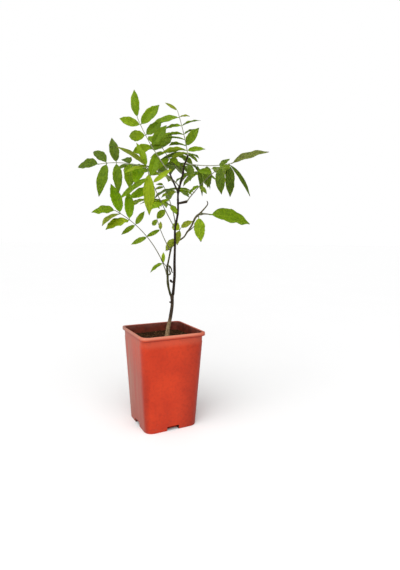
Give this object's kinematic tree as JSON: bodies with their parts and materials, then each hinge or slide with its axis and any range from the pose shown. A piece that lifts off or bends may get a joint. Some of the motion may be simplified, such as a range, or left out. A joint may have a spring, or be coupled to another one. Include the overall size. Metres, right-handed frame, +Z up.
{
  "type": "potted tree sapling",
  "caption": "Young feather-leaved tree sapling with a twice forked stem, growing in compost in a deep square plastic nursery pot.",
  "frame": {"origin": "centre of the pot's flat underside", "axes": "+Z up the stem, +X along the pot's front face, -Y out of that face"},
  "size_m": [0.2698, 0.177, 0.5116],
  "materials": {
    "pot_plastic": "orange-red moulded polypropylene, satin, scuffed and dusty",
    "compost": "dark brown moist growing compost, loose and crumbly",
    "bark": "thin young bark, tan at the foot and dark olive brown above",
    "leaf": "smooth living leaf, yellow green to mid green, slightly glossy"
  },
  "bodies": {
    "root": {"pot": "pot_plastic", "compost": "compost", "trunk": "bark", "leader": "bark", "side_stem": "bark", "right_shoot": "bark", "upper_left_twig": "bark", "right_spur": "bark", "shoot_spur": "bark", "top_leaf": "leaf", "upper_left_leaf": "leaf", "left_leaf": "leaf", "front_leaf": "leaf", "lower_left_leaf": "leaf", "low_inner_leaf": "leaf", "inner_leaf": "leaf", "right_leaf": "leaf", "far_right_leaf": "leaf", "behind_leaf": "leaf", "young_leaf": "leaf", "broad_leaf": "leaf", "hanging_leaf": "leaf", "far_leaf_low": "leaf", "far_leaf_middle": "leaf", "far_leaf_left": "leaf", "far_leaf_right": "leaf", "far_leaf_upper": "leaf", "far_leaf_top": "leaf"}
  },
  "joints": []
}
